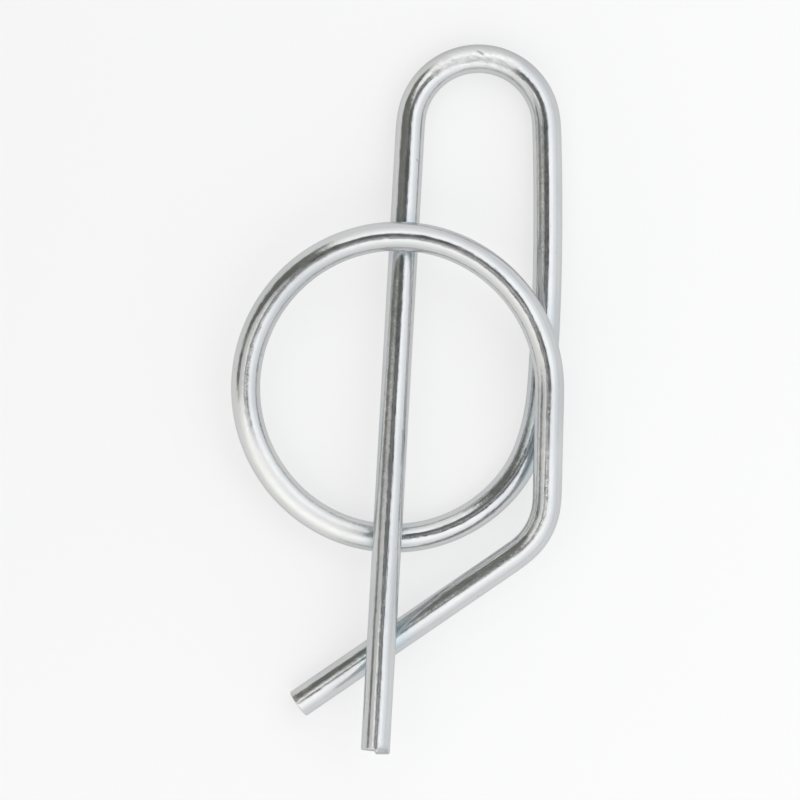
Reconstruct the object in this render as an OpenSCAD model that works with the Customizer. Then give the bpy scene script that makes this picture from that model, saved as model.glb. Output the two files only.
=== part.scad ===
// Ring cotter pin: one length of round spring wire, bent into a straight leg, a U-bend,
// a ring of a little over one turn and a turned-back tail. The leg goes through the
// cross-hole of a shaft and the ring snaps round the shaft. Dimensions in millimetres.
//
// The pin lies at rest on the plane z = 0, touching it at the crown of the U-bend, at one
// point of the ring and at the tail's tip. The ring's centre is over the origin, and the leg
// runs along Y with its free tip at -Y. Where strands cross, the ring's top is over the leg,
// and the leg is over the ring's bottom and over the tail.

/* [Wire] */

// diameter of the round spring wire
wire_d = 3.2; // [2.4:0.1:4]
// clear gap between strands where they cross
strand_gap = 0.6; // [0.3:0.05:1.2]
// clear gap between the ring's first strand and the last one, which laps over it
lap_gap = 1; // [0.8:0.1:2]
// bevel round the wire's two cut ends
end_bevel = 0.15; // [0.05:0.05:0.4]
// step that the shear leaves across the leg's tip
shear_depth = 0.3; // [0.1:0.05:0.6]

/* [Ring] */

// inside diameter of the ring
ring_inner_d = 30; // [26:0.5:36]
// how far the ring's start is drawn in from the full circle
run_in_depth = 0.85; // [0:0.05:1.2]
// turn over which the ring opens out from its start to the full circle
run_in_angle = 120; // [95:5:170]
// turn past the full circle at which the ring ends
ring_over = 1.3; // [0:0.1:4]
// turn from the ring's start to the point at which it touches the plane
low_at = 65; // [60:1:75]

/* [Leg] */

// reach of the straight leg past the outside of the ring
leg_past = 21.6; // [18:0.2:30]
// lean of the leg off the Y axis, seen from above
leg_lean = 3.2; // [2:0.1:5]
// distance of the leg's centreline from the ring's centre, to the right
leg_offset = -0.2; // [-1:0.05:1]

/* [U-bend and limb] */

// inside radius of the U-bend and of the tail's bend
bend_inner_r = 5.85; // [5:0.05:7]
// distance from the ring's centreline to the crown's centreline
ubend_past = 19.5; // [16:0.1:26]
// outward lean of the limb where it leaves the U-bend
limb_splay = 1.6; // [0:0.1:4]
// inward lean of the limb where it runs into the ring
limb_lean = 4.3; // [2:0.1:7]
// upward slope of the limb where it leaves the U-bend, in degrees
limb_rise = 1.7; // [1:0.1:3]

/* [Tail] */

// angle of the tail below the X axis, seen from above
tail_angle = 34.5; // [30:0.5:40]
// clear gap between the outside of the ring and the tail
tail_gap = 2.5; // [1.5:0.1:5]
// length of the tail, from the point where its bend's two sides would meet
tail_len = 33; // [30:0.5:38]

/* [Hidden] */

// steps round the wire's section, along a full circle of it, and at least along any bend
$fn = 64;
circle_steps = 160;
bend_steps = 12;
// a collar at each joint of the wire laps both sides: it is a hair over the wire's radius
joint_over = 0.005;
joint_half = 0.1;

wire_r = wire_d / 2;
ring_r = ring_inner_d / 2 + wire_r;
bend_r = bend_inner_r + wire_r;

// ---- Plan of the ring. Its turn t is 0 at its start on the right and grows clockwise. ----

function radians(a) = a * PI / 180;

function ring_radius(t) = ring_r - run_in_depth * max(0, 1 - t / run_in_angle);

function ring_opening(t) = t < run_in_angle ? run_in_depth / radians(run_in_angle) : 0;

// turns at which the leg crosses the ring's bottom and its top
bottom_t = 90 + leg_lean - asin(leg_offset / ring_radius(90));
top_t = 270 + leg_lean + asin(leg_offset / ring_r);

// ---- Heights of the centreline. ----

// Strands cross on a slope, so their heights differ by a little more than their spacing.
ring_step = (wire_d + strand_gap) * 1.006;
tail_step = (wire_d + strand_gap) * 1.02;

// The ring climbs by its pitch in a turn, and is tipped up by ring_tip about the point at
// which it touches the plane.
climb = (wire_d + lap_gap) / (2 * PI);

function climbed(t) = climb * (radians(t - low_at) - sin(t - low_at));

function tipped(t) = 1 - cos(t - low_at);

crown_y = ring_r + ubend_past;
bottom_reach = crown_y + ring_radius(bottom_t) * sin(bottom_t);
top_reach = crown_y + ring_r * sin(top_t);
reach_share = top_reach / bottom_reach;

// The leg rises from the crown so as to clear the ring's bottom, and the ring is tipped so
// that its top clears the leg.
ring_tip = (ring_step * (1 + reach_share) - climbed(top_t) + reach_share * climbed(bottom_t))
  / (tipped(top_t) - reach_share * tipped(bottom_t));

function ring_z(t) = wire_r + climbed(t) + ring_tip * tipped(t);

function ring_slope(t) = climb * tipped(t) + ring_tip * sin(t - low_at);

leg_slope = (ring_z(bottom_t) - wire_r + ring_step) / bottom_reach;
leg_rise = atan(leg_slope);

function leg_z(y) = wire_r + leg_slope * (crown_y - y);

// ---- Stations along the wire, each a point of the centreline and its direction there. ----

function unit(v) = v / norm(v);

// a vector of the U-bend's plane, tipped up by an angle about the line through the crown
function raised(v, a) = [v[0], v[1] * cos(a), -v[1] * sin(a)];

// a point of the U-bend from its crown, at an angle measured from its right end
function bend_point(a) = [bend_r * cos(a), bend_r * sin(a) - bend_r];

crown_x = (leg_offset + bend_r + (crown_y - bend_r) * sin(leg_lean)) / cos(leg_lean);
crown = [[crown_x, crown_y, wire_r], [1, 0, 0]];

leg_top = [
  crown[0] + raised(bend_point(180 - leg_lean), leg_rise),
  raised([sin(leg_lean), cos(leg_lean)], leg_rise)
];
leg_len = (leg_top[0][1] + ring_r + wire_r + leg_past) / leg_top[1][1];
leg_tip = leg_top[0] - leg_len * leg_top[1];

limb_top = [
  crown[0] + raised(bend_point(limb_splay), limb_rise),
  raised([sin(limb_splay), -cos(limb_splay)], limb_rise)
];

function ring_at(t) =
  let (r = ring_radius(t), o = ring_opening(t))
  [
    [r * cos(t), -r * sin(t), ring_z(t)],
    unit([o * cos(t) - r * sin(t), -o * sin(t) - r * cos(t), ring_slope(t)])
  ];

ring_start = [
  ring_at(0)[0],
  unit([-sin(limb_lean), -cos(limb_lean), ring_slope(0) / ring_radius(0)])
];

// The strand in front runs straight on from the ring's end, and the tail passes outside the
// ring. Their two lines meet at the corner, which the tail's bend rounds.
end_t = 360 + ring_over;
end_point = ring_at(end_t)[0];
strand_dir = [-sin(end_t), -cos(end_t)];
tail_dir = [-cos(tail_angle), -sin(tail_angle)];
tail_out = [sin(tail_angle), -cos(tail_angle)];
tail_off = ring_r + wire_d + tail_gap;
end_plan = [end_point[0], end_point[1]];
corner_plan = end_plan + strand_dir * (tail_off - end_plan * tail_out) / (strand_dir * tail_out);

// The tail's tip lies on the plane, and the tail is as high as it can be under the leg.
leg_side = [cos(leg_lean), -sin(leg_lean)];
to_leg = (leg_offset - leg_side * corner_plan) / (leg_side * tail_dir);
under_leg = leg_z(corner_plan[1] + tail_dir[1] * to_leg) - tail_step;
corner_z = wire_r + (under_leg - wire_r) * tail_len / (tail_len - to_leg);
tail_plan = corner_plan + tail_dir * tail_len;
corner = [corner_plan[0], corner_plan[1], corner_z];
tail_tip = [tail_plan[0], tail_plan[1], wire_r];

strand_line = unit(corner - end_point);
tail_line = unit(tail_tip - corner);
corner_side = bend_r * tan(acos(strand_line * tail_line) / 2);
ring_end = [end_point, strand_line];
// the ring's stations are closer together where it opens out
ring_turns = [45, 90, 180, 270];
ring_stations = concat([ring_start], [for (t = ring_turns) ring_at(t)], [ring_end]);
corner_in = [corner - strand_line * corner_side, strand_line];
corner_out = [corner + tail_line * corner_side, tail_line];

// ---- Lengths of wire. ----

function frame(x, y, z) = [
  [x[0], y[0], z[0], 0],
  [x[1], y[1], z[1], 0],
  [x[2], y[2], z[2], 0],
  [0, 0, 0, 1]
];

// puts its children at a point, with their Z axis along a direction and X to its side
module along(p, d) {
  side = unit(cross(d, [0, 0, 1]));
  translate(p)
    multmatrix(frame(side, cross(d, side), d))
      children();
}

// closes the joint at a station
module joint(s) {
  along(s[0], s[1])
    translate([0, 0, -joint_half])
      cylinder(r = wire_r + joint_over, h = 2 * joint_half);
}

module straight(p, q) {
  along(p, unit(q - p))
    cylinder(r = wire_r, h = norm(q - p));
}

// the last length of wire, which runs from p to a bevelled end at q
module straight_to_end(p, q) {
  run = norm(q - p);
  along(p, unit(q - p)) {
    cylinder(r = wire_r, h = run - end_bevel);
    translate([0, 0, run - end_bevel])
      cylinder(r1 = wire_r, r2 = wire_r - end_bevel, h = end_bevel);
  }
}

// a circular bend that leaves a station and ends at q
module bend(s, q) {
  half = asin(norm(cross(s[1], unit(q - s[0]))));
  r = norm(q - s[0]) / (2 * sin(half));
  axis = unit(cross(s[1], q - s[0]));
  translate(s[0])
    multmatrix(frame(cross(s[1], axis), s[1], axis))
      translate([-r, 0, 0])
        rotate_extrude(angle = 2 * half, $fn = max(circle_steps, ceil(bend_steps * 180 / half)))
          translate([r, 0])
            circle(r = wire_r, $fn = 64);
}

// two bends that share a tangent and join one station to another
module curve(a, b) {
  v = b[0] - a[0];
  s = v * (a[1] + b[1]);
  c = 2 * (1 - a[1] * b[1]);
  h = (sqrt(s * s + c * (v * v)) - s) / c;
  p = a[0] + h * a[1];
  q = b[0] - h * b[1];
  mid = [(p + q) / 2, unit(q - p)];
  bend(a, mid[0]);
  joint(mid);
  bend(mid, b[0]);
}

// ---- The wire, from the leg's tip to the tail's. ----

module leg() {
  difference() {
    straight_to_end(leg_top[0], leg_tip);
    // the half of the tip that sheared off short
    along(leg_tip, -leg_top[1])
      translate([0, -wire_d, -shear_depth])
        cube([wire_d, 2 * wire_d, 2 * shear_depth]);
  }
}

module u_bend() {
  joint(leg_top);
  bend(leg_top, crown[0]);
  joint(crown);
  bend(crown, limb_top[0]);
}

module limb() {
  joint(limb_top);
  curve(limb_top, ring_start);
}

module ring() {
  for (i = [0 : len(ring_stations) - 2]) {
    joint(ring_stations[i]);
    curve(ring_stations[i], ring_stations[i + 1]);
  }
}

module tail() {
  joint(ring_end);
  straight(ring_end[0], corner_in[0]);
  joint(corner_in);
  bend(corner_in, corner_out[0]);
  joint(corner_out);
  straight_to_end(corner_out[0], tail_tip);
}

module ring_cotter_pin() {
  color([0.78, 0.78, 0.79]) {
    leg();
    u_bend();
    limb();
    ring();
    tail();
  }
}

ring_cotter_pin();
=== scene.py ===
import math

import bpy
import numpy as np
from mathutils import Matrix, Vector


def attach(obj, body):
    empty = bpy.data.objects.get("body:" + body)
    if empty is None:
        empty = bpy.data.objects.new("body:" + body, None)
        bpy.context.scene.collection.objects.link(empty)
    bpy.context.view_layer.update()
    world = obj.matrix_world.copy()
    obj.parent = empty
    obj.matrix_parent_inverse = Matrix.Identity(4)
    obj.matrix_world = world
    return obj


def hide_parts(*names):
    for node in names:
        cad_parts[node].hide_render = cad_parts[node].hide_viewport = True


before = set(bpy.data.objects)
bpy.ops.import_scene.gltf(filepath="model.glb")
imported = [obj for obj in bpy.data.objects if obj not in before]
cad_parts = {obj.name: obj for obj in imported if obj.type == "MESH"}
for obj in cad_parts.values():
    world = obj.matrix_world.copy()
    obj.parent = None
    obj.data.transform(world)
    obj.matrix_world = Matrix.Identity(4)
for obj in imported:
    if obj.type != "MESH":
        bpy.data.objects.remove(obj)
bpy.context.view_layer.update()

MM = 0.001

# ---------------------------------------------------------------------------------------
# Driving sizes of the pin, the same as in its source (millimetres and degrees).
# ---------------------------------------------------------------------------------------
WIRE_D = 3.2
STRAND_GAP = 0.6
LAP_GAP = 1.0
END_BEVEL = 0.15
SHEAR_DEPTH = 0.3
RING_INNER_D = 30.0
RUN_IN_DEPTH = 0.85
RUN_IN_ANGLE = 120.0
RING_OVER = 1.3
LOW_AT = 65.0
LEG_PAST = 21.6
LEG_LEAN = 3.2
LEG_OFFSET = -0.2
BEND_INNER_R = 5.85
UBEND_PAST = 19.5
LIMB_SPLAY = 1.6
LIMB_LEAN = 4.3
LIMB_RISE = 1.7
TAIL_ANGLE = 34.5
TAIL_GAP = 2.5
TAIL_LEN = 33.0
# Strands cross on a slope, so their heights differ by a little more than their spacing.
RING_SLANT = 1.006
TAIL_SLANT = 1.02
# Turns of the ring's stations, closer together where it opens out.
RING_TURNS = (45, 90, 180, 270)

WIRE_R = WIRE_D / 2
RING_R = RING_INNER_D / 2 + WIRE_R
BEND_R = BEND_INNER_R + WIRE_R
RING_CLIMB = (WIRE_D + LAP_GAP) / (2 * math.pi)


def sin(a):
    return math.sin(math.radians(a))


def cos(a):
    return math.cos(math.radians(a))


def asin(x):
    return math.degrees(math.asin(x))


def unit(v):
    v = np.asarray(v, float)
    return v / np.linalg.norm(v)


# ---------------------------------------------------------------------------------------
# The wire's centreline. The ring's turn t is 0 at its start on the right and grows
# clockwise. A station is a point of the centreline and the direction there.
# ---------------------------------------------------------------------------------------
def ring_radius(t):
    return RING_R - RUN_IN_DEPTH * max(0, 1 - t / RUN_IN_ANGLE)


def ring_opening(t):
    return RUN_IN_DEPTH / math.radians(RUN_IN_ANGLE) if t < RUN_IN_ANGLE else 0


def climbed(t):
    return RING_CLIMB * (math.radians(t - LOW_AT) - sin(t - LOW_AT))


def tipped(t):
    return 1 - cos(t - LOW_AT)


# The leg crosses the ring's bottom and its top at these turns, and the ring is tipped so
# that its top clears the leg.
BOTTOM_T = 90 + LEG_LEAN - asin(LEG_OFFSET / ring_radius(90))
TOP_T = 270 + LEG_LEAN + asin(LEG_OFFSET / RING_R)
CROWN_Y = RING_R + UBEND_PAST
BOTTOM_REACH = CROWN_Y + ring_radius(BOTTOM_T) * sin(BOTTOM_T)
TOP_SHARE = (CROWN_Y + RING_R * sin(TOP_T)) / BOTTOM_REACH
RING_STEP = (WIRE_D + STRAND_GAP) * RING_SLANT
RING_TIP = (RING_STEP * (1 + TOP_SHARE) - climbed(TOP_T) + TOP_SHARE * climbed(BOTTOM_T)) / (
    tipped(TOP_T) - TOP_SHARE * tipped(BOTTOM_T)
)


def ring_z(t):
    return WIRE_R + climbed(t) + RING_TIP * tipped(t)


def ring_slope(t):
    return RING_CLIMB * tipped(t) + RING_TIP * sin(t - LOW_AT)


LEG_SLOPE = (ring_z(BOTTOM_T) - WIRE_R + RING_STEP) / BOTTOM_REACH


def leg_z(y):
    return WIRE_R + LEG_SLOPE * (CROWN_Y - y)


def ring_at(t):
    r, o = ring_radius(t), ring_opening(t)
    point = np.array([r * cos(t), -r * sin(t), ring_z(t)])
    return point, unit([o * cos(t) - r * sin(t), -o * sin(t) - r * cos(t), ring_slope(t)])


def raised(v, a):
    """A vector of the U-bend's plane, tipped up by an angle about the line through the crown."""
    return np.array([v[0], v[1] * cos(a), -v[1] * sin(a)])


def bend_point(a):
    """A point of the U-bend from its crown, at an angle measured from its right end."""
    return [BEND_R * cos(a), BEND_R * sin(a) - BEND_R]


def two_bends(a, b):
    """Two bends that share a tangent and join station a to station b."""
    v = b[0] - a[0]
    s = v @ (a[1] + b[1])
    c = 2 * (1 - a[1] @ b[1])
    h = (math.sqrt(s * s + c * (v @ v)) - s) / c
    p, q = a[0] + h * a[1], b[0] - h * b[1]
    mid = ((p + q) / 2, unit(q - p))
    return [(a, mid[0]), (mid, b[0])]


def u_bend_stations():
    """The leg's tip and top, the crown, and the limb's top."""
    rise = math.degrees(math.atan(LEG_SLOPE))
    crown_x = (LEG_OFFSET + BEND_R + (CROWN_Y - BEND_R) * sin(LEG_LEAN)) / cos(LEG_LEAN)
    crown = (np.array([crown_x, CROWN_Y, WIRE_R]), np.array([1.0, 0, 0]))
    leg_top = (
        crown[0] + raised(bend_point(180 - LEG_LEAN), rise),
        raised([sin(LEG_LEAN), cos(LEG_LEAN)], rise),
    )
    leg_len = (leg_top[0][1] + RING_R + WIRE_R + LEG_PAST) / leg_top[1][1]
    leg_tip = (leg_top[0] - leg_len * leg_top[1], leg_top[1])
    limb_top = (
        crown[0] + raised(bend_point(LIMB_SPLAY), LIMB_RISE),
        raised([sin(LIMB_SPLAY), -cos(LIMB_SPLAY)], LIMB_RISE),
    )
    return leg_tip, leg_top, crown, limb_top


def tail_stations():
    """The ring's end, the two ends of the tail's bend, and the tail's tip, a bare point. The
    strand in front runs straight on from the ring's end, and its line meets the tail's line at
    the corner. The tail is as high there as it can be under the leg."""
    end_t = 360 + RING_OVER
    end_point = ring_at(end_t)[0]
    strand_dir = np.array([-sin(end_t), -cos(end_t)])
    tail_dir = np.array([-cos(TAIL_ANGLE), -sin(TAIL_ANGLE)])
    tail_out = np.array([sin(TAIL_ANGLE), -cos(TAIL_ANGLE)])
    tail_off = RING_R + WIRE_D + TAIL_GAP
    run = (tail_off - end_point[:2] @ tail_out) / (strand_dir @ tail_out)
    corner_plan = end_point[:2] + strand_dir * run

    leg_side = np.array([cos(LEG_LEAN), -sin(LEG_LEAN)])
    to_leg = (LEG_OFFSET - leg_side @ corner_plan) / (leg_side @ tail_dir)
    under_leg = leg_z(corner_plan[1] + tail_dir[1] * to_leg) - (WIRE_D + STRAND_GAP) * TAIL_SLANT
    corner_z = WIRE_R + (under_leg - WIRE_R) * TAIL_LEN / (TAIL_LEN - to_leg)
    corner = np.array([*corner_plan, corner_z])
    tail_tip = np.array([*(corner_plan + tail_dir * TAIL_LEN), WIRE_R])

    strand_line, tail_line = unit(corner - end_point), unit(tail_tip - corner)
    side = BEND_R * math.tan(math.acos(strand_line @ tail_line) / 2)
    corner_in = (corner - strand_line * side, strand_line)
    corner_out = (corner + tail_line * side, tail_line)
    return (end_point, strand_line), corner_in, corner_out, tail_tip


def wire_lengths():
    """[(name, [(station, end point), ...])]: a bend leaves the station and ends at the point."""
    leg_tip, leg_top, crown, limb_top = u_bend_stations()
    ring_end, corner_in, corner_out, tail_tip = tail_stations()
    ring_start = (
        ring_at(0)[0],
        unit([-sin(LIMB_LEAN), -cos(LIMB_LEAN), ring_slope(0) / ring_radius(0)]),
    )
    ring = [ring_start, *[ring_at(t) for t in RING_TURNS], ring_end]
    return [
        ("leg", [(leg_tip, leg_top[0])]),
        ("u_bend", [(leg_top, crown[0]), (crown, limb_top[0])]),
        ("limb", two_bends(limb_top, ring_start)),
        ("ring", [bend for a, b in zip(ring, ring[1:]) for bend in two_bends(a, b)]),
        ("strand", [(ring_end, corner_in[0])]),
        ("corner", [(corner_in, corner_out[0])]),
        ("tail", [(corner_out, tail_tip)]),
    ]


# Spacing of the centreline's points and the fewest to a bend, and the half angle, in radians,
# below which a bend is a straight.
FINE_STEP = 0.05
FEWEST_POINTS = 4
STRAIGHT_BELOW = 1e-5
# Distance over which a bend comes on, and how many of it the easing reaches each way.
BEND_EASE = 0.7
EASE_REACH = 4


def bend_points(start, end):
    """Points from a station to an end point, along the one circle or line that fits them."""
    p, t = start
    chord = end - p
    n = max(FEWEST_POINTS, math.ceil(np.linalg.norm(chord) / FINE_STEP))
    k = np.arange(1, n + 1) / n
    half = math.acos(min(1.0, t @ unit(chord)))
    if half < STRAIGHT_BELOW:
        return p + k[:, None] * chord
    r = np.linalg.norm(chord) / (2 * math.sin(half))
    inward = np.cross(unit(np.cross(t, chord)), t)
    a = 2 * half * k[:, None]
    return p + r * inward + r * (t * np.sin(a) - inward * np.cos(a))


def chained_points():
    """The points of all the lengths end to end, and the number of each length's first point."""
    points, firsts = [], {}
    for name, bends in wire_lengths():
        firsts[name] = len(points)
        for start, end in bends:
            if not points:
                points.append(start[0])
            points.extend(bend_points(start, end))
    return np.array(points), firsts


def eased(p):
    """A line of even points, smoothed as a real bend comes on over a short distance."""
    reach = int(EASE_REACH * BEND_EASE / FINE_STEP)
    k = np.exp(-0.5 * (np.arange(-reach, reach + 1) * FINE_STEP / BEND_EASE) ** 2)
    k /= k.sum()
    before = p[0] + (p[0] - p[1]) * np.arange(reach, 0, -1)[:, None]
    after = p[-1] + (p[-1] - p[-2]) * np.arange(1, reach + 1)[:, None]
    p = np.vstack([before, p, after])
    return np.stack([np.convolve(p[:, i], k, "valid") for i in range(3)], 1)


def centreline():
    """Points every FINE_STEP, each one's distance along, and where each length starts."""
    p, firsts = chained_points()
    s = np.r_[0, np.cumsum(np.linalg.norm(np.diff(p, axis=0), axis=1))]
    even = np.arange(0, s[-1], FINE_STEP)
    p = np.stack([np.interp(even, s, p[:, i]) for i in range(3)], 1)
    return eased(p), even, {name: s[i] for name, i in firsts.items()}


# ---------------------------------------------------------------------------------------
# The wire's skin. Along the wire s is the distance from the leg's tip. Round it the angle a
# grows from the top towards the right as one goes along, and b is the same as a distance.
# ---------------------------------------------------------------------------------------
NOISE = np.random.default_rng(7)

# Vertices round the wire, and the spacing of its rings of vertices: plain, and near details.
# The crown and the elbow have the first reach, the ends have the second, and the elbow's rings
# close up only by its share.
AROUND = 80
RING_SPACING = 0.36
DETAIL_SPACING = 0.13
DETAIL_REACH = 3.4
END_REACH = 1.0
ELBOW_SHARE = 0.5

# Relief of the skin, in depth below the plain round wire: everywhere, and where it is scuffed.
BASE_DEPTH = 0.004
WAVE = 0.006
RIPPLE = 0.005
NOISE_SHARE = 0.5
SCUFF_DEPTH = 0.018
DENT_SHARE = 0.8
# Noises of the relief: length of a cell along the wire, and cells round it.
WAVE_CELLS = (6.0, 5)
RIPPLE_CELLS = (1.1, 9)
DENT_CELLS = (0.55, 18)
# A bend flattens the wire on its outside, and less on its inside, with soft edges.
OVALITY = 0.03
INNER_SHARE = 0.4
U_BEND_EDGE = 1.5
CORNER_EDGE = 1.0

# Patches of the skin: reach before and after their middle, soft edge, and place and half
# width round the wire.
CROWN_SCUFF = (5.2, 4.2, 1.6, -0.1, 0.62)
ELBOW_SCUFF = (1.3, 0.9, 0.5, 0.75, 0.16)
# The crown's painted shade: a patch along its outer edge.
CROWN_PAINTED_SHADE = (7.0, 6.0, 3.0, -1.95, 0.55)
ELBOW_SCUFF_SHARE = 0.6
# The dull patch: its run and soft edge in degrees of the ring's turn, and its place and half
# width round the wire.
DULL_TURNS = (98, 160)
DULL_EDGE = 12
DULL_ACROSS = (-0.1, 0.75)

# The nick on the crown, the lip beside it and the scratches round it: depth, start and end
# as (distance past the crown, b), and width.
CROWN_SCRATCHES = [
    (0.10, (-0.30, -0.95), (0.30, -0.45), 0.075),
    (-0.03, (0.15, -1.00), (0.75, -0.50), 0.10),
    (0.03, (-3.6, -0.5), (-1.6, 0.1), 0.08),
    (0.025, (-2.1, 0.35), (-0.4, 0.1), 0.08),
    (0.02, (-4.4, 0.2), (-3.2, 0.0), 0.08),
    (0.02, (1.4, -0.3), (3.0, 0.15), 0.08),
]
# How much of a scratch is left at its two ends.
SCRATCH_ENDS = 0.15


def bell(x, centre, width):
    return np.exp(-0.5 * ((x - centre) / width) ** 2)


def smooth_step(x, a, b):
    t = np.clip((x - a) / (b - a), 0, 1)
    return t * t * (3 - 2 * t)


def window(x, a, b, edge):
    """1 from a to b, and 0 outside, over soft edges."""
    return smooth_step(x, a - edge, a + edge) * (1 - smooth_step(x, b - edge, b + edge))


def patch(s, b, middle, before, after, edge, across, width):
    """How much of a patch of the skin there is at a place."""
    return window(s, middle - before, middle + after, edge) * bell(b, across, width)


def round_distance(a):
    """The distance b round the wire of an angle a, less than 0 on the left."""
    return WIRE_R * np.where(a > math.pi, a - 2 * math.pi, a)


def noise_field(length, cell_s, cells_round):
    """A smooth random field over the wire's skin, of about unit size, as a function of s and a."""
    rows = int(length / cell_s) + 3
    grid = NOISE.normal(size=(rows, cells_round))

    def at(s, a):
        # u stays short of the last row, since each place blends two rows
        u = np.clip(s / cell_s, 0, rows - 1.001)
        v = (a / (2 * math.pi) % 1) * cells_round
        i, j = np.floor(u).astype(int), np.floor(v).astype(int) % cells_round
        fu, fv = smooth_step(u % 1, 0, 1), smooth_step(v % 1, 0, 1)
        k = (j + 1) % cells_round
        low = grid[i, j] * (1 - fv) + grid[i, k] * fv
        high = grid[i + 1, j] * (1 - fv) + grid[i + 1, k] * fv
        return low * (1 - fu) + high * fu

    return at


def scratch(s, b, start, end, width):
    """How much of a scratch from start to end, each (s, b), there is at a place of the skin."""
    p0, p1 = np.array(start), np.array(end)
    d = p1 - p0
    t = np.clip(((s - p0[0]) * d[0] + (b - p0[1]) * d[1]) / (d @ d), 0, 1)
    away = np.hypot(s - p0[0] - t * d[0], b - p0[1] - t * d[1])
    return bell(away, 0, width) * np.sqrt(np.clip(4 * t * (1 - t) + SCRATCH_ENDS, 0, 1))


class Wire:
    """The eased centreline, and the directions across it."""

    def __init__(self):
        self.points, self.even, self.marks = centreline()
        self.slope = np.gradient(self.points, axis=0)
        self.length = self.even[-1]
        m = self.marks
        self.crown = (m["u_bend"] + m["limb"]) / 2
        self.elbow = (m["corner"] + m["tail"]) / 2

    def at(self, s):
        """(point, direction along, direction to the right, direction up) at each s."""
        point = np.stack([np.interp(s, self.even, self.points[:, i]) for i in range(3)], -1)
        along = np.stack([np.interp(s, self.even, self.slope[:, i]) for i in range(3)], -1)
        along /= np.linalg.norm(along, axis=-1, keepdims=True)
        right = np.cross(along, [0, 0, 1.0])
        right /= np.linalg.norm(right, axis=-1, keepdims=True)
        return point, along, right, np.cross(right, along)

    def rings(self):
        """The s of each ring of vertices, closer at the ends, the crown and the elbow."""
        out = [0.0]
        while out[-1] < self.length:
            s = out[-1]
            detail = (
                bell(s, 0, END_REACH)
                + bell(s, self.length, END_REACH)
                + bell(s, self.crown, DETAIL_REACH)
                + ELBOW_SHARE * bell(s, self.elbow, DETAIL_REACH)
            )
            out.append(s + RING_SPACING + (DETAIL_SPACING - RING_SPACING) * min(1.0, detail))
        s = np.array(out)
        return s * self.length / s[-1]


def scuffed(wire, s, b):
    """Where the bending tool rubbed the wire: on top of the crown, and inside the elbow."""
    crown = patch(s, b, wire.crown, *CROWN_SCUFF)
    return crown + ELBOW_SCUFF_SHARE * patch(s, b, wire.elbow, *ELBOW_SCUFF)


def dulled(wire, s, b):
    """Where the coiling tool left the plating dull: the ring's lower left."""
    turn = RING_R * math.pi / 180
    start, end = (wire.marks["ring"] + t * turn for t in DULL_TURNS)
    return window(s, start, end, DULL_EDGE * turn) * bell(b, *DULL_ACROSS)


def crown_edge_painted_shade(wire, s, b):
    """Painted shade: darker along the crown's outer edge."""
    return patch(s, b, wire.crown, *CROWN_PAINTED_SHADE)


def nicked(wire, s, b):
    """How deep the crown's nick and scratches are at a place of the skin."""
    past = s - wire.crown
    return sum(
        depth * scratch(past, b, start, end, width) for depth, start, end, width in CROWN_SCRATCHES
    )


def skin_relief(wire):
    """A function of s and a: how far the skin lies below the plain round wire."""
    waves = noise_field(wire.length, *WAVE_CELLS)
    ripples = noise_field(wire.length, *RIPPLE_CELLS)
    dents = noise_field(wire.length, *DENT_CELLS)
    m = wire.marks

    def depth(s, a):
        b = round_distance(a)
        outer = np.clip(-np.sin(a), 0, 1) ** 2
        inner = np.clip(np.sin(a), 0, 1) ** 2
        bends = window(s, m["u_bend"], m["limb"], U_BEND_EDGE)
        bends += window(s, m["corner"], m["tail"], CORNER_EDGE)
        d = BASE_DEPTH + WAVE * (1 + NOISE_SHARE * waves(s, a))
        d += RIPPLE * (1 + NOISE_SHARE * ripples(s, a))
        d += bends * OVALITY * (outer + INNER_SHARE * inner)
        d += SCUFF_DEPTH * scuffed(wire, s, b) * (1 + DENT_SHARE * dents(s, a))
        return np.maximum(d + nicked(wire, s, b), 0)

    return depth


# ---------------------------------------------------------------------------------------
# The cut ends. Across a face x is to the right and y is up, and back is the distance from
# its tip.
# ---------------------------------------------------------------------------------------
# Steps from a face's rim to its middle, and round its rim.
FACE_RINGS = 11
ROUND_STEPS = 5
# A face is torn by this depth times a mean and the swing of a sum of waves, up to a limit.
CUT_ROUGH = 0.035
TEAR_MEAN = 0.5
TEAR_SWING = 0.22
TEAR_LIMIT = 2
# The waves: how many, the first one's frequency and the step to the next across x and across
# y, and the spread of their phases.
TEAR_WAVES = 7
TEAR_X = (1.1, 0.7)
TEAR_Y = (1.3, 0.6)
TEAR_PHASE = 3
# A burr stands out at the bottom of a face: its height, and its place and width as shares of
# the radius.
BURR = 0.03
BURR_AT = 0.93
BURR_WIDTH = 0.05
# The cutter's squeeze: from its edge to its full depth across the face, and how far back.
SQUEEZE_FROM = -0.05
SQUEEZE_FULL = 0.75
SQUEEZE_REACH = 0.36
# A face's recess fades out this far back. The skin's relief fades out over the face, and is
# gone at this radius.
FACE_REACH = 2.2
RELIEF_FROM = 0.3 * WIRE_R
# The rings of the plain wire begin this far back.
CAP_ROOM = 1.6 * END_BEVEL


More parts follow.
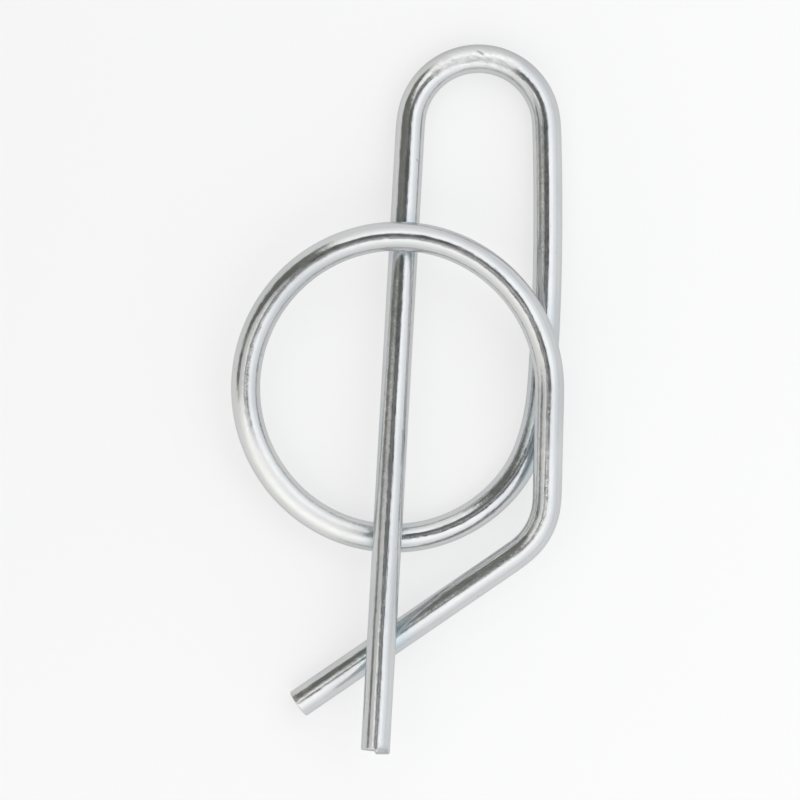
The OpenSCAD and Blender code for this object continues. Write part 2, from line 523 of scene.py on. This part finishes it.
class CutEnd:
    """One sheared end: the skin rounds over into a face that has torn unevenly. The face's left
    half stands back by a step, and the cutter pinched the skin on top of its right half."""

    def __init__(self, rounding, step, step_width, pinch):
        self.rounding = rounding
        self.step = step
        self.step_width = step_width
        self.pinch = pinch
        # The last two rows aren't used, but are drawn for the sake of the draws after them.
        self.tear = NOISE.normal(size=(5, TEAR_WAVES))

    def recess(self, x, y):
        """How far the face lies behind the tip."""
        low = 1 - smooth_step(x, -self.step_width, self.step_width)
        size, x_phase, y_phase = self.tear[:3] * [[1], [TEAR_PHASE], [TEAR_PHASE]]
        tear = sum(
            size[k]
            * np.sin((TEAR_X[0] + TEAR_X[1] * k) * x + x_phase[k])
            * np.sin((TEAR_Y[0] + TEAR_Y[1] * k) * y + y_phase[k])
            for k in range(TEAR_WAVES)
        )
        face = TEAR_MEAN + TEAR_SWING * np.clip(tear, -TEAR_LIMIT, TEAR_LIMIT)
        bottom = np.clip(-y / WIRE_R, 0, 1)
        burr = bell(np.hypot(x, y) / WIRE_R, BURR_AT, BURR_WIDTH) * bottom
        return self.step * low + CUT_ROUGH * face + BURR * (1 - burr)

    def squeeze(self, x, y, back):
        """How far the cutter pressed the skin in."""
        side = smooth_step(x, SQUEEZE_FROM, SQUEEZE_FULL)
        top = np.clip(y / WIRE_R, 0, 1) ** 2
        return self.pinch * top * side * bell(back, 0, SQUEEZE_REACH)

    def cap(self):
        """Rings of vertices from the end's rounding to its middle: [(back, radius), ...]."""
        r, e = WIRE_R, self.rounding
        turns = np.linspace(0, math.pi / 2, ROUND_STEPS + 1)
        rounding = [(e * (1 - math.sin(t)), r - e + e * math.cos(t)) for t in turns]
        return rounding + [(0.0, (r - e) * (1 - k / FACE_RINGS)) for k in range(1, FACE_RINGS)]


LEG_END = CutEnd(END_BEVEL, SHEAR_DEPTH, step_width=0.10, pinch=0.20)
TAIL_END = CutEnd(END_BEVEL, step=0.05, step_width=0.7, pinch=0.06)

# ---------------------------------------------------------------------------------------
# The wire's mesh.
# ---------------------------------------------------------------------------------------
# The cut mask is full on a face up to the first radius, and 0 from the second on. It is full
# too where the cutter pressed the skin in by this much.
CUT_FULL = 0.9 * WIRE_R
CUT_FROM = 0.985 * WIRE_R
PRESSED_FULL = 0.06
# The mask of painted shade in the crown's nick is full at this depth of a scratch.
PAINTED_NICK_SHADE_FULL = 0.08
# The near mask (for a painted reflection) is full where another strand is this close, 0 from the
# next distance on.
# FAR is any distance past that. A strand doesn't count as another within OWN_REACH along the
# wire, and it is looked for at every so many points of the centreline.
NEAR_FULL = 0.8
NEAR_FROM = 3.0
FAR = 9.0
OWN_REACH = 4 * WIRE_D
NEAR_STRIDE = 10


def ring_profile(wire):
    """(s, radius) of each ring of vertices, from the leg's face to the tail's."""
    s = wire.rings()
    skin = [(at, WIRE_R) for at in s[(s > CAP_ROOM) & (s < wire.length - CAP_ROOM)]]
    tail_cap = [(wire.length - back, r) for back, r in TAIL_END.cap()]
    return np.array(LEG_END.cap()[::-1] + skin + tail_cap)


def crossing_nearness(wire, s, skin):
    """1 where the skin all but touches another strand of the wire, falling to 0 away from it."""
    gap = np.full(s.shape, FAR)
    for e, p in zip(wire.even[::NEAR_STRIDE], wire.points[::NEAR_STRIDE]):
        away = np.linalg.norm(skin - p, axis=-1) - WIRE_R
        gap = np.where(np.abs(s - e) > OWN_REACH, np.minimum(gap, away), gap)
    return 1 - smooth_step(gap, NEAR_FULL, NEAR_FROM)


def build_wire():
    wire = Wire()
    depth = skin_relief(wire)
    s, rad = (q[:, None] * np.ones(AROUND) for q in ring_profile(wire).T)
    back = wire.length - s
    a = np.broadcast_to(np.arange(AROUND) * 2 * math.pi / AROUND, s.shape)
    rad = rad - depth(s, a) * smooth_step(rad, RELIEF_FROM, WIRE_R)
    x, y = rad * np.sin(a), rad * np.cos(a)
    leg_face = LEG_END.recess(x, y) * (1 - smooth_step(s, 0, FACE_REACH))
    tail_face = TAIL_END.recess(x, y) * (1 - smooth_step(back, 0, FACE_REACH))
    pressed = LEG_END.squeeze(x, y, s) + TAIL_END.squeeze(x, y, back)
    y = y - pressed

    point, along, right, up = wire.at(s[:, 0])
    skin = (
        point[:, None]
        + right[:, None] * x[..., None]
        + up[:, None] * y[..., None]
        + along[:, None] * (leg_face - tail_face)[..., None]
    )
    b = round_distance(a)
    masks = {
        "cut": np.maximum(1 - smooth_step(rad, CUT_FULL, CUT_FROM), pressed / PRESSED_FULL),
        "worn": scuffed(wire, s, b),
        # The near mask places a painted reflection of the strand close by.
        "near": crossing_nearness(wire, s, skin),
        "dull": dulled(wire, s, b),
        # Where shade is painted along the crown's outer edge.
        "painted_edge_shade": crown_edge_painted_shade(wire, s, b),
        # Painted shade in the crown's nick, darker the deeper it is.
        "painted_nick_shade": np.clip(nicked(wire, s, b) / PAINTED_NICK_SHADE_FULL, 0, 1) ** 2,
    }
    return make_mesh(wire, skin, s, x, y, {k: np.clip(v, 0, 1) for k, v in masks.items()})


def wire_faces(rows, cols):
    """Quads between the rings of vertices, and a fan to the middle vertex of each face."""
    i, j = np.meshgrid(np.arange(rows - 1), np.arange(cols), indexing="ij")
    k = (j + 1) % cols
    quads = np.stack([i * cols + j, i * cols + k, (i + 1) * cols + k, (i + 1) * cols + j], -1)
    leg_tip, tail_tip = rows * cols, rows * cols + 1
    last = (rows - 1) * cols
    leg_fan = [(leg_tip, (q + 1) % cols, q) for q in range(cols)]
    tail_fan = [(tail_tip, last + q, last + (q + 1) % cols) for q in range(cols)]
    return quads.reshape(-1, 4).tolist() + leg_fan + tail_fan


def make_mesh(wire, skin, s, x, y, masks):
    rows, cols = s.shape
    tips = [skin[0].mean(0), skin[-1].mean(0)]
    mesh = bpy.data.meshes.new("pin_wire")
    points = np.vstack([skin.reshape(-1, 3), tips]) * MM
    mesh.from_pydata(points.tolist(), [], wire_faces(rows, cols))
    mesh.update()

    def add(name, kind, key, values, at_tips):
        data = np.vstack([values.reshape(rows * cols, -1), at_tips])
        layer = mesh.attributes.new(name, kind, "POINT")
        layer.data.foreach_set(key, data.ravel().astype(np.float32))

    place, place_at_tips = np.stack([s, x, y], -1), [[0, 0, 0], [wire.length, 0, 0]]
    add("along_wire", "FLOAT_VECTOR", "vector", place, place_at_tips)
    for name, mask in masks.items():
        at_tip = 1 if name == "cut" else 0
        add(name, "FLOAT", "value", mask, [[at_tip], [at_tip]])
    lay_out(mesh, wire, s, x, y)
    mesh.polygons.foreach_set("use_smooth", [True] * len(mesh.polygons))
    obj = bpy.data.objects.new("pin_wire", mesh)
    bpy.context.scene.collection.objects.link(obj)
    return obj


# The skin's rows on the map, with the width of a row and its margins, and the two cut faces
# beside them, one above the other.
UV_ROWS = 5
UV_WIDTH = 0.94
UV_MARGIN = 0.004
ROW_MARGIN = 0.04
CAP_MIDDLE = (0.975, 0.1)
CAP_STEP = 0.2
CAP_SIZE = 0.045


def read_int(items, key, count):
    values = np.empty(count, int)
    items.foreach_get(key, values)
    return values


def lay_out(mesh, wire, s, x, y):
    """Lays the wire's skin out in a few rows, and its two cut faces beside them."""
    rows, cols = s.shape
    v = read_int(mesh.loops, "vertex_index", len(mesh.loops))
    start = read_int(mesh.polygons, "loop_start", len(mesh.polygons))
    size = read_int(mesh.polygons, "loop_total", len(mesh.polygons))
    face = np.repeat(np.arange(len(size)), size)
    leg_tip = rows * cols
    ring, col = np.where(v == leg_tip, 0, np.minimum(v // cols, rows - 1)), v % cols

    at_s = s[:, 0][ring]
    row_length = wire.length / UV_ROWS
    mean_s = np.add.reduceat(at_s, start) / size
    row = np.clip((mean_s / row_length).astype(int), 0, UV_ROWS - 1)[face]
    wraps = np.maximum.reduceat(col, start) - np.minimum.reduceat(col, start) > cols / 2
    turn = np.where(wraps[face] & (col == 0), cols, col) / cols
    uv = np.empty((len(v), 2))
    uv[:, 0] = UV_MARGIN + (at_s / row_length - row) * UV_WIDTH
    uv[:, 1] = (row + ROW_MARGIN + (1 - 2 * ROW_MARGIN) * turn) / UV_ROWS

    spot = np.stack([np.append(q.ravel(), [0, 0])[v] for q in (x, y)], -1)
    on_leg_face = np.maximum.reduceat(ring, start) < FACE_RINGS
    on_tail_face = np.minimum.reduceat(ring, start) >= rows - FACE_RINGS
    for k, on_face in enumerate((on_leg_face, on_tail_face)):
        middle = np.array(CAP_MIDDLE) + [0, CAP_STEP * k]
        here = on_face[face]
        uv[here] = (middle + spot / WIRE_D * CAP_SIZE)[here]
    mesh.uv_layers.new(name="OFBake").data.foreach_set("uv", uv.ravel().astype(np.float32))


# ---------------------------------------------------------------------------------------
# Materials.
# ---------------------------------------------------------------------------------------
class Graph:
    """A material's or world's emptied node tree, with short names for the few nodes used."""

    def __init__(self, owner):
        owner.use_nodes = True
        self.tree = owner.node_tree
        self.tree.nodes.clear()

    def node(self, kind, **settings):
        n = self.tree.nodes.new("ShaderNode" + kind)
        for name, value in settings.items():
            setattr(n, name, value)
        return n

    def feed(self, socket, value):
        if isinstance(value, bpy.types.NodeSocket):
            self.tree.links.new(value, socket)
        else:
            socket.default_value = value

    def attribute(self, name, output):
        return self.node("Attribute", attribute_name=name).outputs[output]

    def math(self, operation, a, b, clamp=False):
        n = self.node("Math", operation=operation, use_clamp=clamp)
        self.feed(n.inputs[0], a)
        self.feed(n.inputs[1], b)
        return n.outputs[0]

    def add(self, a, b, clamp=False):
        return self.math("ADD", a, b, clamp)

    def times(self, a, b):
        return self.math("MULTIPLY", a, b)

    def most(self, a, b):
        return self.math("MAXIMUM", a, b)

    def noise(self, place, cells, detail, rough):
        """A noise with so many cells to the unit of place, along the wire and across it."""
        scaled = self.node("VectorMath", operation="MULTIPLY")
        self.feed(scaled.inputs[0], place)
        scaled.inputs[1].default_value = cells
        n = self.node("TexNoise")
        self.feed(n.inputs["Vector"], scaled.outputs[0])
        n.inputs["Scale"].default_value = 1.0
        n.inputs["Detail"].default_value = detail
        n.inputs["Roughness"].default_value = rough
        return n.outputs[0]

    def spread(self, value, low, high, to_low=0.0, to_high=1.0, kind="SMOOTHSTEP"):
        """A value's run from low to high, spread from to_low to to_high."""
        n = self.node("MapRange", interpolation_type=kind)
        for socket, v in zip(n.inputs[:5], (value, low, high, to_low, to_high)):
            self.feed(socket, v)
        return n.outputs[0]

    def mix(self, share, a, b, blend="MIX"):
        n = self.node("Mix", data_type="RGBA", blend_type=blend)
        self.feed(n.inputs[0], share)
        self.feed(n.inputs[6], a)
        self.feed(n.inputs[7], b)
        return n.outputs[2]

    def bump(self, height, size, normal=None):
        """Bumps of a size in millimetres, on top of those of a normal."""
        n = self.node("Bump")
        n.inputs["Strength"].default_value = 1.0
        n.inputs["Distance"].default_value = size * MM
        self.feed(n.inputs["Height"], height)
        if normal is not None:
            self.feed(n.inputs["Normal"], normal)
        return n.outputs[0]

    def output(self, kind, shader):
        self.feed(self.node(kind).inputs[0], shader.outputs[0])


ZINC = (0.63, 0.635, 0.64, 1)
ZINC_DULL = (0.57, 0.58, 0.59, 1)
# Painted reflection of a strand close by: bluer and darker than the plain zinc.
ZINC_PAINTED_REFLECTION = (0.46, 0.55, 0.59, 1)
ZINC_BARE = (0.88, 0.88, 0.87, 1)
# Painted shade: the darker zinc along the crown's outer edge.
ZINC_PAINTED_SHADE = (0.50, 0.505, 0.51, 1)
# Dark specks, and the painted shade in the crown's nick and scratches.
SPECK_AND_NICK_SHADE = (0.30, 0.30, 0.30, 1)
CUT_STEEL = (0.42, 0.42, 0.415, 1)
EDGE_TINT = (0.80, 0.80, 0.80, 1)

# Noises over the skin: cells per millimetre along the wire and across it, detail, roughness.
SKIN_NOISES = {
    "lines": ((0.10, 4.0, 4.0), 3.0, 0.6),
    "hair": ((0.35, 16.0, 16.0), 2.0, 0.5),
    "mottle": ((0.75, 1.5, 1.5), 3.0, 0.55),
    "dapple": ((2.0, 3.2, 3.2), 2.0, 0.5),
    "grain": ((5.0, 7.0, 7.0), 2.0, 0.5),
    "cloud": ((0.10, 0.25, 0.25), 2.0, 0.5),
    "rubs": ((1.5, 6.0, 1.5), 3.0, 0.6),
    "blots": ((1.9, 2.1, 2.1), 3.0, 0.6),
    "specks": ((2.6, 2.6, 2.6), 1.0, 0.5),
}
# Bump that each noise gives the plain skin, and the bump of worn and of cut places.
SKIN_BUMPS = {"mottle": 0.022, "dapple": 0.008, "lines": 0.012, "hair": 0.0016, "grain": 0.0030}
WORN_BUMP = 0.05
RUBS_SHARE = 0.3
CUT_BUMP = 0.05
# Masks that the mesh carries, each 0 to 1.
SKIN_MASKS = ("worn", "cut", "near", "dull", "painted_edge_shade", "painted_nick_shade")


def zinc_color(g, noise, mask):
    """Zinc that clouds over in places, with a painted reflection, bluer and darker, where strands
    nearly touch.
    It is specked, rubbed bare and cut, with painted shade along the crown's outer edge and in its
    nick."""
    painted_reflection = g.times(mask["near"], g.spread(noise["cloud"], 0.35, 0.6, 0.35, 0.7))
    specks = g.spread(noise["specks"], 0.765, 0.80)
    bare = g.times(mask["worn"], g.spread(noise["blots"], 0.36, 0.6, 0.6, 1.0))
    color = g.mix(g.spread(noise["cloud"], 0.40, 0.68), ZINC, ZINC_DULL)
    # Painted reflection, bluer and darker, where another strand all but touches.
    color = g.mix(painted_reflection, color, ZINC_PAINTED_REFLECTION)
    color = g.mix(g.times(specks, 0.6), color, SPECK_AND_NICK_SHADE)
    # Painted shade along the crown's outer edge.
    color = g.mix(mask["painted_edge_shade"], color, ZINC_PAINTED_SHADE)
    color = g.mix(g.most(bare, g.times(mask["dull"], 0.9)), color, ZINC_BARE)
    # Painted shade in the crown's nick and scratches.
    color = g.mix(g.times(mask["painted_nick_shade"], 0.7), color, SPECK_AND_NICK_SHADE)
    return g.mix(g.times(mask["cut"], 0.8), color, CUT_STEEL)


def zinc_roughness(g, noise, mask):
    """Glossy, a little less so in the mottle and along the drawn lines, and rough where the
    plating is dull, worn or cut."""
    rubbed = g.times(mask["worn"], g.spread(noise["blots"], 0.35, 0.62, 0.38, 0.22))
    rough = g.spread(noise["mottle"], 0.35, 0.7, 0.14, 0.20)
    rough = g.add(rough, g.spread(noise["lines"], 0.45, 0.75, 0.0, 0.06))
    rough = g.add(rough, g.times(mask["dull"], 0.34))
    rough = g.add(rough, rubbed)
    return g.add(rough, g.times(mask["cut"], 0.28), clamp=True)


def zinc_normal(g, noise, mask):
    """The skin's small bumps, deeper where it is worn or cut."""
    normal = None
    for name, size in SKIN_BUMPS.items():
        normal = g.bump(noise[name], size, normal)
    scuffs = g.add(noise["blots"], g.times(noise["rubs"], RUBS_SHARE))
    normal = g.bump(g.times(mask["worn"], scuffs), WORN_BUMP, normal)
    return g.bump(g.times(mask["cut"], noise["grain"]), CUT_BUMP, normal)


def zinc_material():
    """Bright zinc plate over drawn wire."""
    material = bpy.data.materials.new("bright_zinc_plate")
    g = Graph(material)
    place = g.attribute("along_wire", "Vector")
    noise = {name: g.noise(place, *values) for name, values in SKIN_NOISES.items()}
    mask = {name: g.attribute(name, "Fac") for name in SKIN_MASKS}
    zinc = g.node("BsdfPrincipled")
    zinc.inputs["Metallic"].default_value = 1.0
    zinc.inputs["Specular Tint"].default_value = EDGE_TINT
    g.feed(zinc.inputs["Base Color"], zinc_color(g, noise, mask))
    g.feed(zinc.inputs["Roughness"], zinc_roughness(g, noise, mask))
    g.feed(zinc.inputs["Normal"], zinc_normal(g, noise, mask))
    g.output("OutputMaterial", zinc)
    return material


# ---------------------------------------------------------------------------------------
# Studio.
# ---------------------------------------------------------------------------------------
# The camera looks straight down at this place, from so far off that the view is all but flat.
VIEW_CENTRE = Vector((0.273, -1.267, 4.0)) * MM
VIEW_WIDTH = 87.36 * MM
CAMERA_DISTANCE = 1.5


def add_camera():
    camera = bpy.data.cameras.new("camera")
    camera.sensor_width = 36
    camera.lens = camera.sensor_width * CAMERA_DISTANCE / VIEW_WIDTH
    camera.clip_start, camera.clip_end = 0.01, 20
    obj = bpy.data.objects.new("camera", camera)
    obj.location = VIEW_CENTRE + Vector((0, 0, CAMERA_DISTANCE))
    bpy.context.scene.collection.objects.link(obj)
    bpy.context.scene.camera = obj


def add_plate(name, outline, height, material):
    """A flat piece of the studio, level at a height, of an outline in the plan."""
    mesh = bpy.data.meshes.new(name)
    mesh.from_pydata([(x, y, height) for x, y in outline], [], [tuple(range(len(outline)))])
    mesh.materials.append(material)
    obj = bpy.data.objects.new(name, mesh)
    bpy.context.scene.collection.objects.link(obj)
    return obj


# The floor's colour and half its width, and how far it is lifted to white where it is seen.
FLOOR_COLOR = (0.90, 0.90, 0.90, 1)
FLOOR_REACH = 3.0
FLOOR_GLOW = 0.6


def floor_material():
    """Pale paper. To the camera and in mirrors it is lifted part of the way to white, which
    leaves the pin a soft shadow."""
    material = bpy.data.materials.new("pale_floor")
    g = Graph(material)
    path = g.node("LightPath")
    seen = g.most(path.outputs["Is Camera Ray"], path.outputs["Is Glossy Ray"])
    seen = g.most(seen, path.outputs["Is Transmission Ray"])
    paper, white = g.node("BsdfDiffuse"), g.node("Emission")
    paper.inputs["Color"].default_value = FLOOR_COLOR
    both = g.node("MixShader")
    g.feed(both.inputs[0], g.times(seen, FLOOR_GLOW))
    g.feed(both.inputs[1], paper.outputs[0])
    g.feed(both.inputs[2], white.outputs[0])
    g.output("OutputMaterial", both)
    material.cycles.emission_sampling = "NONE"
    return material


def add_floor():
    e = FLOOR_REACH
    add_plate("floor", [(-e, -e), (e, -e), (e, e), (-e, e)], 0, floor_material())


# Flags that hang over the pin and keep light off it. Its bright metal mirrors them as dark
# lines, and the veil as a paler one. Each has a colour, a height and an outline in the plan, in
# millimetres. The camera doesn't see them.
FLAGS = {
    "camera_hood": (
        (0.10, 0.104, 0.108),
        200,
        [
            (-50, -22), (-34, -38), (-24, -18), (0, -11), (50, 4), (58, 40),
            (14, 94), (-60, 98), (-66, 74), (-72, 40), (-72, 12),
        ],
    ),
    "hood_middle": (
        (0.27, 0.275, 0.28),
        199,
        [(-44, -14), (-34, -30), (-24, -18), (0, -11), (24, -3), (14, 8), (8, 34), (-40, 34)],
    ),
    "hood_side": (
        (0.42, 0.42, 0.41),
        200,
        [(-72, 8), (-104, 20), (-118, 48), (-72, 40)],
    ),
    "hood_foot": (
        (0.15, 0.15, 0.145),
        200,
        [(-84, -66), (-30, -64), (-22, -44), (-34, -38), (-50, -22), (-76, -30)],
    ),
    "hood_arm": (
        (0.11, 0.11, 0.114),
        198,
        [
            (16, -5), (40, 0), (44, -12), (66, -16), (66, -40), (44, -46), (44, -58),
            (0, -58), (-13, -49), (-24, -40), (-26, -30), (-8, -20), (14, -15),
        ],
    ),
    "dark_side": (
        (0.19, 0.19, 0.17),
        200,
        [
            (-72, 40), (-66, 74), (-74, 104), (-112, 130), (-168, 235),
            (-280, 520), (-700, 620), (-900, 110), (-300, 44), (-118, 48),
        ],
    ),
    "low_flag": (
        (0.18, 0.18, 0.168),
        200,
        [(-270, -90), (-850, -120), (-850, 80), (-290, 40)],
    ),
    "veil": (
        (0.82, 0.82, 0.80),
        201,
        [(-100, -60), (-270, -90), (-290, 45), (-110, 48)],
    ),
}


def flag_material(name, color):
    """An even colour that the metal mirrors and that isn't sampled as a lamp."""
    material = bpy.data.materials.new(name)
    g = Graph(material)
    glow = g.node("Emission")
    glow.inputs["Color"].default_value = (*color, 1)
    g.output("OutputMaterial", glow)
    material.cycles.emission_sampling = "NONE"
    return material


def add_flags():
    for name, (color, height, outline) in FLAGS.items():
        plan = [(x * MM, y * MM) for x, y in outline]
        flag = add_plate(name, plan, height * MM, flag_material(name, color))
        flag.visible_camera = False


# Brightness of the studio's dome by height above the horizon (the sine of its angle), and its
# tint, from the warm side at -X to the cool side at +X.
DOME = ((0.0, 0.58), (0.28, 0.675), (0.5, 0.745), (0.68, 0.84), (0.82, 0.975), (1.0, 1.0))
DOME_STRENGTH = 1.5
WARM_SIDE = (1.0, 0.985, 0.95, 1)
COOL_SIDE = (0.95, 0.975, 1.0, 1)
TINT_REACH = 0.8


def dome_ramp(g):
    ramp = g.node("ValToRGB")
    stops = ramp.color_ramp.elements
    for stop, (z, _) in zip(stops, (DOME[0], DOME[-1])):
        stop.position = z
    for z, _ in DOME[1:-1]:
        stops.new(z)
    for stop, (_, v) in zip(stops, DOME):
        stop.color = (v, v, v, 1)
    return ramp


def add_world():
    world = bpy.data.worlds.new("studio")
    bpy.context.scene.world = world
    g = Graph(world)
    direction = g.node("SeparateXYZ")
    g.feed(direction.inputs[0], g.node("TexCoord").outputs["Generated"])
    ramp = dome_ramp(g)
    g.feed(ramp.inputs[0], direction.outputs[2])
    side = g.spread(direction.outputs[0], -TINT_REACH, TINT_REACH, kind="LINEAR")
    tint = g.mix(side, WARM_SIDE, COOL_SIDE)
    dome = g.node("Background")
    g.feed(dome.inputs["Color"], g.mix(1.0, ramp.outputs[0], tint, "MULTIPLY"))
    dome.inputs["Strength"].default_value = DOME_STRENGTH
    g.output("OutputWorld", dome)


bpy.context.scene.view_settings.view_transform = "Standard"
wire = build_wire()
wire.data.materials.append(zinc_material())
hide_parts("ring_cotter_pin")
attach(wire, "root")
add_floor()
add_flags()
add_world()
add_camera()
